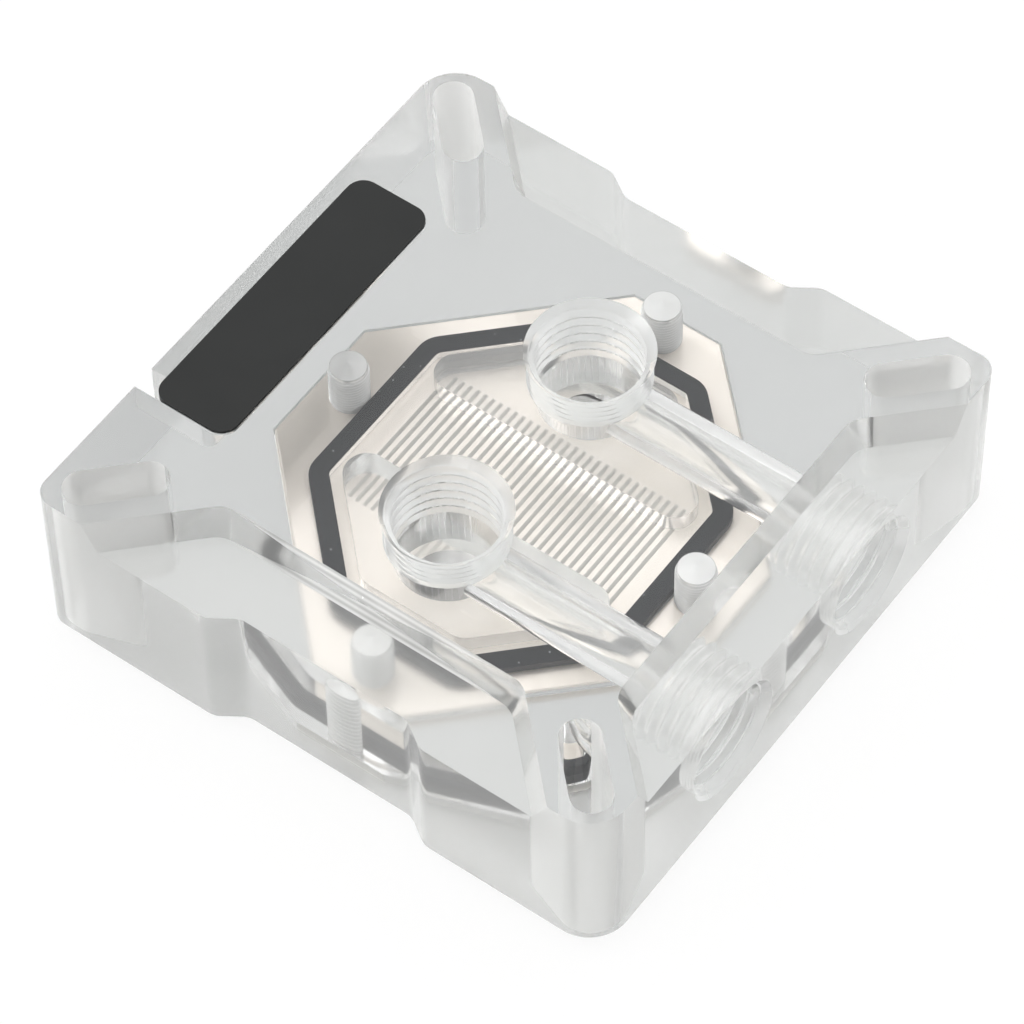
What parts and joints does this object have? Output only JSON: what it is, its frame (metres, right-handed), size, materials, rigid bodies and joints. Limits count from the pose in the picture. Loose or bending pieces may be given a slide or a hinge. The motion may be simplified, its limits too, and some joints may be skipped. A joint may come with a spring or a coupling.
{
  "type": "graphics card water block",
  "caption": "Square liquid cooling block for a graphics processor: clear milled top with threaded ports and slotted corner arms on a finned nickel-plated cold plate.",
  "frame": {"origin": "centre of the cold plate's contact face, which is also the lowest face", "axes": "+Z from the contact face up through the clear top, +X towards the side with the side ports, +Y along the line of the top ports and along the fins"},
  "size_m": [0.07, 0.07, 0.0228],
  "materials": {
    "clear_acrylic": "clear, polished, with milled faces left slightly satin",
    "nickel_plate": "satin nickel plating",
    "seal_rubber": "smooth",
    "screw_steel": "plain stainless",
    "cover_black": "satin"
  },
  "bodies": {
    "root": {"acrylic_top": "clear_acrylic", "cold_plate": "nickel_plate", "seal_ring": "seal_rubber", "plate_screws": "screw_steel", "pocket_cover": "cover_black"}
  },
  "joints": []
}
